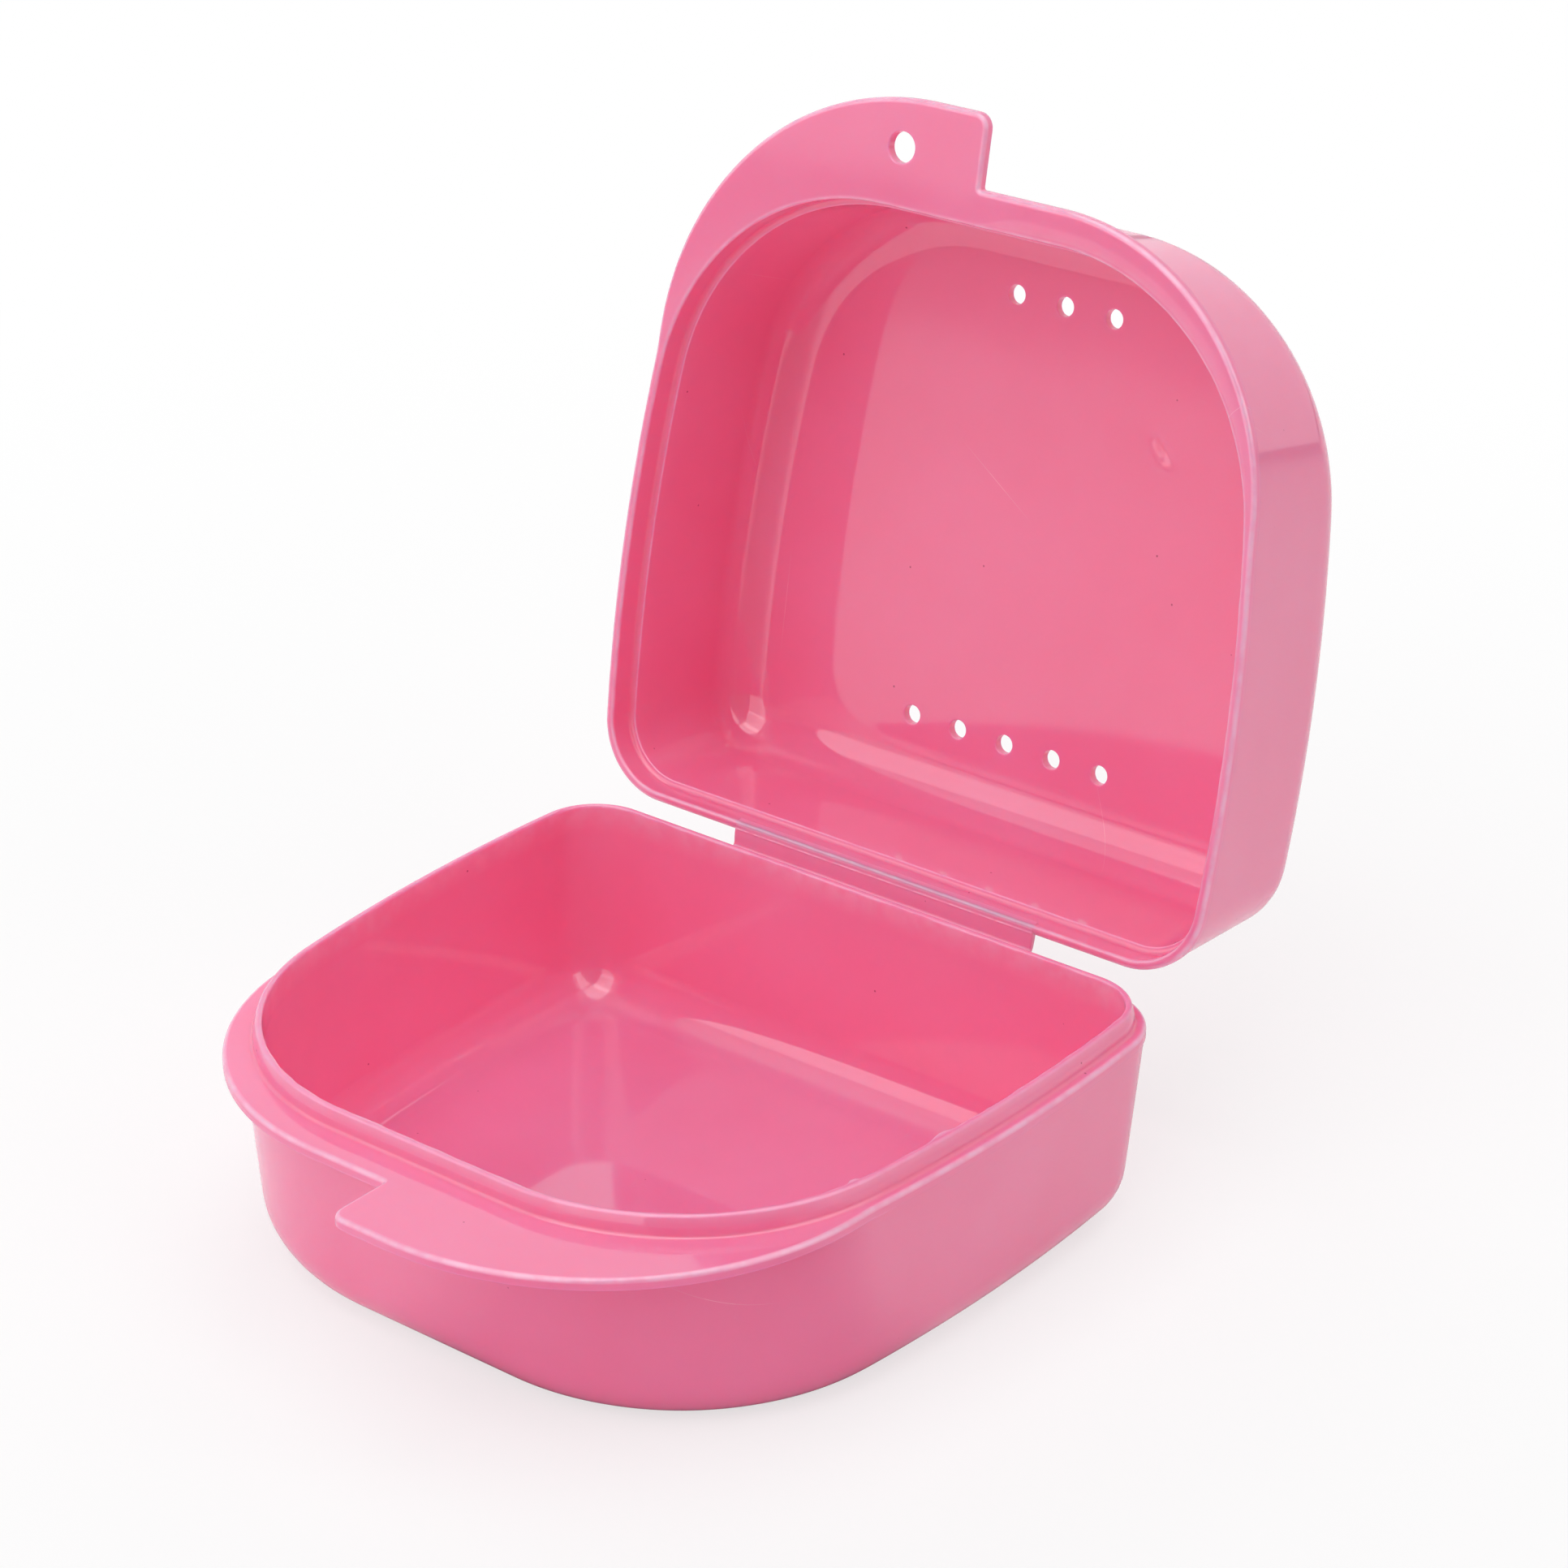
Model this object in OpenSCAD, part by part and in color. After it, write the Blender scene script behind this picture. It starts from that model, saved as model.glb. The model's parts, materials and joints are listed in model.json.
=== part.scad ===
// Orthodontic retainer case: a base and a lid of the same outline, joined by a thin living hinge.
// Modelled standing on its base with the lid open. Millimetres, +Z up, +Y towards the hinge.
// The origin is the middle of the base's underside.

/* [Outline] */
// Widest width of each half, where the two halves meet
case_w = 78; // [70:1:90]
// Depth of each half from the hinge side to the front
case_d = 70.5; // [66:0.5:82]
// How far towards the hinge the widest place lies from the middle
widest_y = 14.5; // [8:0.5:18]
// Radius of the slightly bowed sides
side_r = 207.5; // [150:2.5:400]
// Radius of the two corners beside the hinge
rear_r = 8.2; // [7:0.2:12]
// Radius of the two large front corners
front_r = 26.8; // [20:0.2:30]

/* [Shells] */
// Height of each half from the seam to its outer face
shell_h = 21.5; // [16:0.5:28]
// Thickness of the base's floor and of the lid's panel
floor_t = 1.1; // [0.8:0.1:2]
// Slope of the outer walls
outer_draft = 3.5; // [1:0.5:5]
// Slope of the inner walls
inner_draft = 3; // [1:0.5:4]
// Radius where the outer walls turn into the flat faces
outer_round = 5.7; // [2:0.1:6]
// How much wider the outer corners become from the flange to the flat face
corner_growth = 1.25; // [0:0.25:2]
// Radius where the inner walls turn into the flat faces
inner_round = 3.8; // [2:0.2:4.4]

/* [Seam] */
// Height of the lip that stands on the base
lip_h = 2.1; // [1.2:0.1:3.5]
// Thickness of the lip
lip_t = 1.05; // [0.8:0.05:1.5]
// Thickness of the lid's wall at its rim
rim_t = 0.9; // [0.7:0.05:1.4]
// Sideways play between the lip and the lid's rim
lip_gap = 0.1; // [0.05:0.05:0.3]
// Room above the lip when the lid is closed
lip_headroom = 0.9; // [0.3:0.1:1.5]
// Width of the step inside the lid above the lip
shoulder_w = 0.75; // [0.4:0.05:1]
// Gap between the lid and the base when closed
seam_gap = 0.1; // [0.05:0.05:0.3]

/* [Flange and tabs] */
// Thickness of the flange and of the finger tab
flange_t = 1.2; // [0.9:0.1:1.6]
// How far the flange stands out at the front
flange_reach = 2.75; // [1:0.25:5]
// How far the finger tab stands out at the front
tab_reach = 10.3; // [6:0.1:14]
// Radius of the tab's curved edge
tab_r = 31.2; // [28:0.4:36]
// Distance from the middle to where the tab's curved edge begins
tab_flat = 6; // [4:0.2:8]
// How far each tab runs past the middle
tab_overlap = 0.9; // [0.5:0.1:3]
// Rounding of the tab's outer corner
tab_corner_r = 1.6; // [0.6:0.2:3]
// Diameter of the lanyard hole in the lid's tab
lanyard_d = 3.2; // [2:0.2:4.4]
// Distance of the lanyard hole from the middle
lanyard_x = 9; // [5:0.5:14]
// Distance of the lanyard hole from the front of the shell
lanyard_out = 5.2; // [4:0.2:6.4]

/* [Vents] */
// Diameter of the vent holes in the lid
vent_d = 2.1; // [1:0.1:3.5]
// Spacing of the vent holes
vent_pitch = 6.15; // [4:0.05:8]
// Number of vent holes near the front
front_vents = 3; // [1:1:5]
// Number of vent holes near the hinge
rear_vents = 5; // [1:1:7]
// Distance of the front row from the front of the shell
vent_front_in = 11; // [10:0.5:20]
// Distance of the rear row from the hinge side of the shell
vent_rear_in = 11.4; // [10:0.2:20]

/* [Hinge] */
// Width of the hinge strap
hinge_w = 39; // [20:1:50]
// Distance of the hinge's fold behind the shell
hinge_reach = 1.8; // [1.2:0.1:4]
// Thickness of the strap's two leaves
leaf_t = 0.8; // [0.6:0.05:0.9]
// Thickness of the fold
film_d = 0.5; // [0.3:0.05:0.6]
// Play between the fold and the lid's leaf
film_gap = 0.05; // [0.02:0.01:0.1]
// How far the lid stands open
open_angle = 100; // [0:1:180]

/* [Hidden] */
$fn = 96;

pink = "#ee7a9f";
deep_pink = "#e8648c";
pale_pink = "#f4a3bd";

// Largest distance between a drawn arc and the true one
arc_tolerance = 0.035;
// Overlap of a cut past the face that it goes through
cut = 1;
// Width of the flat border between a round and the middle of the floor
floor_lap = 0.2;
// Least radius that is left in the rear corners around the middle of the floor
least_r = 0.3;
// How far a square corner moves in for each millimetre that it widens
corner_share = sqrt(2) - 1;

half_w = case_w / 2;
half_d = case_d / 2;

// Each side is one bowed arc that runs into a corner arc at both ends, with no kink
side_cx = half_w - side_r;

// Centre of a corner arc of radius r at the given y
function corner(r, y) = [side_cx + sqrt(pow(side_r - r, 2) - pow(y - widest_y, 2)), y];
function rear_corner(growth) = corner(rear_r + growth, half_d - rear_r - growth);
function front_corner(growth) = corner(front_r + growth, front_r + growth - half_d);

// Direction from the middle of the side's arc in which it meets a corner
function turn(centre) = atan2(centre.y - widest_y, centre.x - side_cx);

front_cx = front_corner(0).x;
front_turn = turn(front_corner(0));
rear_turn = turn(rear_corner(0));

// Wall heights, measured from the outer face of a half
wall_top = shell_h - flange_t;
recess_z = shell_h - lip_h - lip_headroom;

// Insets from the outline at the seam
lip_out = rim_t + lip_gap;
lip_in = lip_out + lip_t;
shoulder_in = rim_t + shoulder_w;

// The rounds stay within the small rear corners
outer_foot = wall_top * tan(outer_draft);
inner_foot = max(lip_in, shoulder_in) + (wall_top - floor_t) * tan(inner_draft);
round_room = rear_r - floor_lap - least_r;
corner_in = corner_share * corner_growth;
round_out = min(outer_round, round_room - corner_in - outer_foot);
round_in = min(inner_round, round_room - inner_foot);

axis_y = half_d + hinge_reach;
axis_z = shell_h + seam_gap / 2;

// Number of straight pieces that draw an arc
function pieces(r, a0, a1) = max(1, ceil(abs(a1 - a0) / (2 * acos(1 - arc_tolerance / r))));

// Points along an arc in n pieces, from the given first point on
function arc(cx, cy, r, a0, a1, n, first = 0) =
    [for (i = [first:n]) let (a = a0 + (a1 - a0) * i / n) [cx + r * cos(a), cy + r * sin(a)]];

function mirrored(points) = [for (i = [len(points) - 1:-1:0]) [-points[i].x, points[i].y]];

// The outline moved inwards by inset, with wider corners where growth is given, counterclockwise from the
// front and always with the same number of points
function outline(inset, growth = 0) =
    let (front = front_corner(growth), rear = rear_corner(growth), right = concat(
        arc(front.x, front.y, front_r + growth - inset, -90, turn(front), pieces(front_r, -90, front_turn)),
        arc(side_cx, widest_y, side_r - inset, turn(front), turn(rear), pieces(side_r, front_turn, rear_turn), 1),
        arc(rear.x, rear.y, rear_r + growth - inset, turn(rear), 90, pieces(rear_r, rear_turn, 90), 1)
    ))
    concat(right, mirrored(right));

// Round of radius r, as inset and height, between a sloped wall through one place and a face at height z
function wall_round(inset, top, draft, r, z) =
    let (centre = inset + (r + (top - z - r) * sin(draft)) / cos(draft))
    arc(centre, z + r, r, 180 + draft, 270, pieces(r, draft, 90));

// A hollow half: outside and inside are lists of inset and height, each ending at its flat face
module shell(outside, inside) {
    floor_in = max(outside[len(outside) - 1][0] + corner_in, inside[len(inside) - 1][0]) + floor_lap;
    section = concat(
        outside,
        [[floor_in, 0], [floor_in, floor_t]],
        [for (i = [len(inside) - 1:-1:0]) inside[i]]
    );
    loops = len(section);
    n = len(outline(0));
    points = [for (s = section, p = outline(s[0], len(s) > 2 ? s[2] : 0)) [p.x, p.y, s[1]]];
    faces = [
        for (i = [0:loops - 1], j = [0:n - 1])
            let (near = i * n, far = (i + 1) % loops * n, k = (j + 1) % n)
            each [[near + j, near + k, far + k], [near + j, far + k, far + j]]
    ];
    polyhedron(points, faces);
    linear_extrude(floor_t)
        polygon(outline(floor_in));
}

// Outside of both halves, from the flange to the flat face, with the growth of its corners
function outer_wall() =
    [for (s = concat([[0, wall_top]], wall_round(0, wall_top, outer_draft, round_out, 0)))
        [s[0], s[1], corner_growth * (1 - s[1] / wall_top)]];

// Flange and finger tab: the flange runs along the front, and the tab covers one front corner
module tab_flange(inset) {
    tab_front = -half_d - tab_reach;
    tab_cy = tab_front + tab_r;
    flange_front = -half_d - flange_reach;
    flange_cy = flange_front + front_r;
    translate([0, 0, wall_top])
        linear_extrude(flange_t)
            difference() {
                union() {
                    polygon(outline(0));
                    // Flange on the side without the tab
                    polygon(concat(
                        [[0, flange_cy]],
                        mirrored(arc(front_cx, flange_cy, front_r, -90, 0, pieces(front_r, -90, 0))),
                        [[0, flange_front]]
                    ));
                    // Tab, with one rounded corner next to the middle
                    polygon(concat(
                        [[-tab_overlap, tab_cy]],
                        arc(tab_corner_r - tab_overlap, tab_front + tab_corner_r, tab_corner_r,
                            180, 270, pieces(tab_corner_r, 180, 270)),
                        arc(tab_flat, tab_cy, tab_r, -90, 0, pieces(tab_r, -90, 0))
                    ));
                }
                polygon(outline(inset));
            }
}

// One leaf of the hinge strap, from the rear face to the fold, thinned where it folds
module hinge_leaf(fold_d) {
    fold_z = shell_h - film_d / 2;
    leaf_z = shell_h - leaf_t;
    difference() {
        translate([-hinge_w / 2, 0, 0])
            rotate([90, 0, 90])
                linear_extrude(hinge_w)
                    polygon([
                        [half_d, shell_h],
                        [axis_y, shell_h],
                        [axis_y, fold_z],
                        [axis_y - (fold_z - leaf_z), leaf_z],
                        [half_d, leaf_z]
                    ]);
        fold(fold_d, hinge_w + 2 * cut);
    }
}

// Round bar along the fold of the hinge
module fold(d, length) {
    translate([0, axis_y, axis_z])
        rotate([0, 90, 0])
            cylinder(d = d, h = length, center = true);
}

// The lid is drawn like the base, then turned over onto it and swung open about the fold
module lid_place() {
    translate([0, axis_y, axis_z])
        rotate([-open_angle, 0, 0])
            translate([0, -axis_y, 2 * shell_h + seam_gap - axis_z])
                rotate([0, 180, 0])
                    children();
}

module vent_row(count, y) {
    for (i = [0:count - 1])
        translate([(i - (count - 1) / 2) * vent_pitch, y, -cut])
            cylinder(d = vent_d, h = floor_t + 2 * cut);
}

module base_tray() {
    color(deep_pink)
        shell(outer_wall(), concat(
            [[lip_in, wall_top]],
            wall_round(lip_in, wall_top, inner_draft, round_in, floor_t)
        ));
}

module base_tab_flange() {
    color(pink)
        tab_flange(lip_in);
}

module base_lip() {
    color(pale_pink)
        translate([0, 0, shell_h])
            linear_extrude(lip_h)
                difference() {
                    polygon(outline(lip_out));
                    polygon(outline(lip_in));
                }
}

module base_hinge_leaf() {
    color(pink)
        hinge_leaf(film_d);
}

module hinge_film() {
    color(pale_pink)
        fold(film_d, hinge_w);
}

module lid_hinge_leaf() {
    color(pink)
        lid_place()
            hinge_leaf(film_d + 2 * film_gap);
}

module lid_tab_flange() {
    color(pink)
        lid_place()
            difference() {
                tab_flange(rim_t);
                translate([lanyard_x, -half_d - lanyard_out, wall_top - cut])
                    cylinder(d = lanyard_d, h = flange_t + 2 * cut);
            }
}

module lid_shell() {
    color(deep_pink)
        lid_place()
            difference() {
                shell(outer_wall(), concat(
                    [[rim_t, wall_top], [rim_t, recess_z], [shoulder_in, recess_z]],
                    wall_round(shoulder_in, recess_z, inner_draft, round_in, floor_t)
                ));
                vent_row(front_vents, vent_front_in - half_d);
                vent_row(rear_vents, half_d - vent_rear_in);
            }
}

base_tray();
base_tab_flange();
base_lip();
base_hinge_leaf();
hinge_film();
lid_hinge_leaf();
lid_tab_flange();
lid_shell();
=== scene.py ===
import json
import math

import bmesh
import bpy
import numpy as np
from mathutils import Matrix, Vector
from mathutils.geometry import delaunay_2d_cdt


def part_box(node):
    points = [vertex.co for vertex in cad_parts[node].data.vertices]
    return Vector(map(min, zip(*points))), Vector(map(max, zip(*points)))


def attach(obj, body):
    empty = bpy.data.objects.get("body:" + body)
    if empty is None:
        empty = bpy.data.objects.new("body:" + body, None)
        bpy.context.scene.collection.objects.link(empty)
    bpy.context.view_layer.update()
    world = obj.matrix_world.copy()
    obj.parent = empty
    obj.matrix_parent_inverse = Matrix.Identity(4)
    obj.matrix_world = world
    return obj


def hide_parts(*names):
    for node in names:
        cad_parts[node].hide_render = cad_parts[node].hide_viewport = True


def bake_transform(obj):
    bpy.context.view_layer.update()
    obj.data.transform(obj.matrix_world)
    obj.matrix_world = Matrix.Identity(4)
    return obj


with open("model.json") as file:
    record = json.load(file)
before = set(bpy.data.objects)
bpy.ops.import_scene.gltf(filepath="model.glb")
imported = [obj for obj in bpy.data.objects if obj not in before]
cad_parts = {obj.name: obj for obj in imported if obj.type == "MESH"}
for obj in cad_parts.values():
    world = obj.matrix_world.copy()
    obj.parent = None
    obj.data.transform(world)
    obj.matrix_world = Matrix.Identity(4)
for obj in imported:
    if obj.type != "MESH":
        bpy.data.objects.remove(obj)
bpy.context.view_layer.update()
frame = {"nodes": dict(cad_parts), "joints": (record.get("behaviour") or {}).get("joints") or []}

# Sizes below are in millimetres, with the hinge at +Y; meshes are written in metres
mm = 0.001
hingeJoint = frame["joints"][0]
hingeY, hingeZ = (v / mm for v in hingeJoint["pos_m"][1:])
openAngle = -hingeJoint["range_deg"][0]  # the lid's angle from closed, in degrees
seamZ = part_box("base_tab_flange")[1].z / mm
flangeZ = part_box("base_tab_flange")[0].z / mm
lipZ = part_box("base_lip")[1].z / mm
print("frame:", len(frame["nodes"]), "solids, lid open by", openAngle, "degrees")

seam = {
    "halfWidth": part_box("base_tray")[1].x / mm,
    "halfDepth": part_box("base_tray")[1].y / mm,
    "widestY": 14.5,  # where the sides are furthest apart
    "sideRadius": 207.5,
    "rearRadius": 8.2,
    "frontRadius": 26.8,
    "touch": 1e-6,  # how close to the front edge a point counts as on it
    "stations": {"front": 14, "frontCorner": 64, "side": 56, "rearCorner": 26, "rear": 38},
}


def arcStations(centre, radius, start, end, count):
    # Points along an arc without its last one, and unit normals towards the arc's centre
    angle = np.linspace(start, end, count + 1)[:-1]
    outward = np.stack([np.cos(angle), np.sin(angle)], 1)
    return np.array(centre) + radius * outward, -outward


def lineStations(start, end, y, inward, count):
    # Points along a straight front or rear edge without its last one, and its inward normal
    x = np.linspace(start, end, count + 1)[:-1]
    return np.stack([x, np.full(count, y)], 1), np.tile([0.0, inward], (count, 1))


def seamOutline(growth=0.0):
    # Outline of both halves at the seam: flat front, front corner, bowed side, rear corner and flat rear, as
    # lines and arcs that meet without a kink, then the same mirrored; growth widens the corners. Gives
    # points, inward normals and the front corner's centre
    s, count = seam, seam["stations"]
    rearRadius, frontRadius = s["rearRadius"] + growth, s["frontRadius"] + growth
    sideX = s["halfWidth"] - s["sideRadius"]
    rearY = s["halfDepth"] - rearRadius
    frontY = frontRadius - s["halfDepth"]
    rearX = sideX + math.sqrt((s["sideRadius"] - rearRadius) ** 2 - (rearY - s["widestY"]) ** 2)
    frontX = sideX + math.sqrt((s["sideRadius"] - frontRadius) ** 2 - (frontY - s["widestY"]) ** 2)
    frontTurn = math.atan2(frontY - s["widestY"], frontX - sideX)
    rearTurn = math.atan2(rearY - s["widestY"], rearX - sideX)
    runs = [
        lineStations(0, frontX, -s["halfDepth"], 1.0, count["front"]),
        arcStations((frontX, frontY), frontRadius, -math.pi / 2, frontTurn, count["frontCorner"]),
        arcStations((sideX, s["widestY"]), s["sideRadius"], frontTurn, rearTurn, count["side"]),
        arcStations((rearX, rearY), rearRadius, rearTurn, math.pi / 2, count["rearCorner"]),
        lineStations(rearX, 0, s["halfDepth"], -1.0, count["rear"]),
    ]
    points = np.concatenate([r[0] for r in runs])
    normals = np.concatenate([r[1] for r in runs])
    middle = np.array([[0.0, s["halfDepth"]]])
    flip = np.array([-1.0, 1.0])
    points = np.concatenate([points, middle, (points * flip)[:0:-1]])
    normals = np.concatenate([normals, [[0.0, -1.0]], (normals * flip)[:0:-1]])
    return points, normals, (frontX, frontY)


flange = {
    "reach": 2.75,  # at the front, on the side without the tab
    "leastReach": 0.14,  # around the sides and the rear
    "softness": 0.06,  # k k of the soft maximum that lets the reach fade into the least reach
    "fadeEnd": 0.9,  # how far inside the least reach the fading is cut off
    "tabReach": 10.3,
    "tabRadius": 31.2,
    "tabFlat": 6.0,  # where the tab's curved edge begins
    "tabOverlap": 0.9,  # past the middle
    "tabCorner": 1.6,
    "notch": 0.3,  # radius where the tab's short side meets the flange
    "cornerClear": 0.2,  # free of other points beside the tab's corner and the notch
    "cornerPoints": 9,
    "sidePoints": 12,
    "edgeRound": 0.5,
    "edgeUnder": 0.12,
    "edgePoints": 7,
    "paintedEdgeLight": 0.95,  # painted highlight on the rounded edge, strongest at its crest
    "foot": 0.3,  # radius where the underside meets the wall
    "mostOfReach": 0.45,  # share of the reach that a rounding may take
    "strip": 0.05,  # flat strip beside a rounding, so that it shades well
    "stripOfReach": 0.04,
}


def onFront(points):
    # True for the points of the seam outline on its straight front edge
    return points[:, 1] < seam["touch"] - seam["halfDepth"]


def rayToCircle(points, outward, centre, radius):
    # Distance from each point along its outward normal to a circle, or -1 where the ray misses it
    offset = points - np.array(centre)
    along = (outward * offset).sum(1)
    under = along ** 2 - (offset ** 2).sum(1) + radius ** 2
    return np.where(under > 0, -along + np.sqrt(np.maximum(under, 0)), -1.0)


def flangeReach(points, normals, frontCorner):
    # How far the rim stands out at each station: the tab's arc on one side, the flange's on the other, and a
    # soft maximum, (d + sqrt(d d + k k)) / 2, that lets both fade into the least reach
    f = flange
    tabCentre = (f["tabFlat"], f["tabRadius"] - seam["halfDepth"] - f["tabReach"])
    tab = rayToCircle(points, -normals, tabCentre, f["tabRadius"])
    tab = np.where(onFront(points) & (points[:, 0] < f["tabFlat"]), f["tabReach"], tab)
    rimCentre = (-frontCorner[0], frontCorner[1] - f["reach"])
    rim = rayToCircle(points, -normals, rimCentre, seam["frontRadius"])
    rim = np.where(onFront(points) & (points[:, 0] > -frontCorner[0]), f["reach"], rim)
    extra = np.where(points[:, 0] > -f["tabOverlap"], tab, rim) - f["leastReach"]
    extra = np.where(points[:, 1] > seam["widestY"], -1.0, extra)
    return f["leastReach"] + (extra + np.sqrt(extra ** 2 + f["softness"])) / 2 * (extra > -f["fadeEnd"])


def flangeOutline(points, normals, reach):
    # Outer edge of flange and tab: the seam outline moved out by its reach, with the tab's short side, its
    # notch and its rounded corner put in where the reach jumps; gives points, inward normals and reach
    f = flange
    front = -seam["halfDepth"]
    step = -f["tabOverlap"]
    outer = points - normals * reach[:, None]
    offFront = ~onFront(points)
    pastCorner = points[:, 0] > f["tabCorner"] - f["tabOverlap"] + f["cornerClear"]
    beforeNotch = points[:, 0] < step - f["notch"] - f["cornerClear"]
    keep = offFront | np.where(points[:, 0] > step, pastCorner, beforeNotch)
    quarter = np.linspace(0, math.pi / 2, f["cornerPoints"])
    notch = np.stack([step - f["notch"] + f["notch"] * np.sin(quarter),
                      front - f["reach"] - f["notch"] + f["notch"] * np.cos(quarter)], 1)
    corner = np.stack([step + f["tabCorner"] - f["tabCorner"] * np.cos(quarter),
                       front - f["tabReach"] + f["tabCorner"] - f["tabCorner"] * np.sin(quarter)], 1)
    side = np.linspace(notch[-1], corner[0], f["sidePoints"])[1:-1]
    outer = np.concatenate([corner, outer[keep], notch, side])
    reach = np.concatenate([front - corner[:, 1], reach[keep], front - notch[:, 1], front - side[:, 1]])
    ahead = np.roll(outer, -1, 0) - outer
    ahead /= np.linalg.norm(ahead, axis=1)[:, None]
    along = ahead + np.roll(ahead, 1, 0)
    along /= np.linalg.norm(along, axis=1)[:, None]
    return outer, np.stack([-along[:, 1], along[:, 0]], 1), reach


def roundedPath(corners, support=0.12, stretch=2.5, arcStep=8.0):
    # Path through corners given as (inset, height, radius): each corner becomes a tangent arc in steps of
    # arcStep degrees, and each straight stretch gets points close to its ends, so that it shades flat
    at = np.array([c[:2] for c in corners], float)
    runs = [at[:1]]
    for i in range(1, len(at) - 1):
        back, ahead = at[i - 1] - at[i], at[i + 1] - at[i]
        back, ahead = back / np.linalg.norm(back), ahead / np.linalg.norm(ahead)
        turn = math.pi - math.acos(float(back @ ahead))
        radius = corners[i][2]
        centre = at[i] + (back + ahead) / np.linalg.norm(back + ahead) * radius / math.cos(turn / 2)
        first = at[i] + back * radius * math.tan(turn / 2) - centre
        last = at[i] + ahead * radius * math.tan(turn / 2) - centre
        k = np.linspace(0, 1, max(3, math.ceil(math.degrees(turn) / arcStep)) + 1)[:, None]
        runs.append(centre + (np.sin((1 - k) * turn) * first + np.sin(k * turn) * last) / math.sin(turn))
    runs.append(at[-1:])
    path = [runs[0]]
    for before, after in zip(runs[:-1], runs[1:]):
        start, end = before[-1], after[0]
        length = np.linalg.norm(end - start)
        near = min(support, 0.3 * length)
        count = max(1, math.ceil((length - 2 * near) / stretch))
        t = np.linspace(near, length - near, count + 1)[:, None] / length
        path += [start + t * (end - start), after]
    return np.concatenate(path)


def newShape():
    # A shape in the making: its points, how much painted highlight and glow each one gets, and groups of
    # faces as point numbers
    return {"points": np.zeros((0, 3)), "paintedLight": np.zeros(0), "quads": [], "triangles": []}


def addPoints(shape, points, paintedLight=0.0):
    # How much painted highlight and glow each point gets, along thin edges and flash
    first = len(shape["points"])
    shape["points"] = np.concatenate([shape["points"], points.reshape(-1, 3)])
    shape["paintedLight"] = np.concatenate([shape["paintedLight"], np.broadcast_to(paintedLight, points.shape[:-1]).ravel()])
    return np.arange(first, len(shape["points"])).reshape(points.shape[:-1])


def addSkin(shape, rows, paintedLight=0.0):
    # Quads between rows of points that each run once round a loop; gives the points' numbers by row
    index = addPoints(shape, rows, paintedLight)
    after = np.roll(index, -1, 1)
    quads = np.stack([index[:-1], after[:-1], after[1:], index[1:]], -1)
    shape["quads"].append(quads.reshape(-1, 4))
    return index


def carry(line, normals, inset, height):
    # A profile carried along an outline: each row is the outline moved in by its inset, at its height
    inset = np.broadcast_to(inset, (len(inset), len(line)))
    height = np.broadcast_to(height, inset.shape)
    flat = line[None] + inset[..., None] * normals[None]
    return np.concatenate([flat, height[..., None]], 2)


def paintedLightNear(path, edges):
    # Painted highlight along a profile: each edge is (inset, height, width, strength) and fades as a bell
    # curve of the distance from it
    edges = np.array(edges)
    away = np.linalg.norm(path[:, None] - edges[None, :, :2], axis=2)
    return (edges[:, 3] * np.exp(-(away / edges[:, 2]) ** 2)).max(1)[:, None]


raggedEdge = {
    "waves": (7, 23, 61, 97),  # sines once round an outline
    "shares": (0.35, 0.4, 0.3, 0.25),  # an even level, then long, middling and short waves
    "width": 0.08,  # of the fin, across the edge
}


def unevenly(line, seed):
    # A wavy share from 0 to 1 along an outline: a level plus sines of the length run so far, of which the
    # longest and the shortest swell and fade with another
    run = np.cumsum(np.linalg.norm(np.diff(line, axis=0, prepend=line[-1:]), axis=1))
    whole = 2 * math.pi / run[-1]
    longest, swell, middling, shortest = [np.sin(whole * k * run + seed * k) for k in raggedEdge["waves"]]
    level, far, mid, near = raggedEdge["shares"]
    return np.clip(level + far * longest * swell + mid * middling + near * shortest * swell, 0, 1)


def flashBits(line, spots):
    # Bits of flash along an outline: each spot is (x, y, half length), with a flat-topped bell curve there
    spots = np.array(spots)
    away = np.linalg.norm(line[:, None] - spots[None, :, :2], axis=2) / spots[:, 2]
    return np.exp(-away ** 4).max(1)


def finAt(path, edge, height):
    # A fin of a given height at each station: it stands on one edge of a profile as a narrow bell curve
    away = np.linalg.norm(path - np.array(edge), axis=1)
    return height * np.exp(-(away / raggedEdge["width"]) ** 2)[:, None]


def insideLoop(points, loop):
    # True where a ray to the right of the point crosses the loop an odd number of times
    a, b = loop[None], np.roll(loop, -1, 0)[None]
    x, y = points[:, None, 0], points[:, None, 1]
    crosses = (a[..., 1] > y) != (b[..., 1] > y)
    rise = np.where(crosses, b[..., 1] - a[..., 1], 1.0)
    where = a[..., 0] + (y - a[..., 1]) * (b[..., 0] - a[..., 0]) / rise
    return (crosses & (x < where)).sum(1) % 2 == 1


def betweenLoops(points, loops):
    # True inside the first loop and outside all others
    within = insideLoop(points, loops[0])
    for hole in loops[1:]:
        within &= ~insideLoop(points, hole)
    return within


lattice = {
    "spacing": 2.2,  # of the points on flat faces
    "fromLoops": 0.6,  # share of the spacing kept free beside edges
    "fromExtra": 0.25,  # and beside extra points
    "merge": 1e-7,
}


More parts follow.
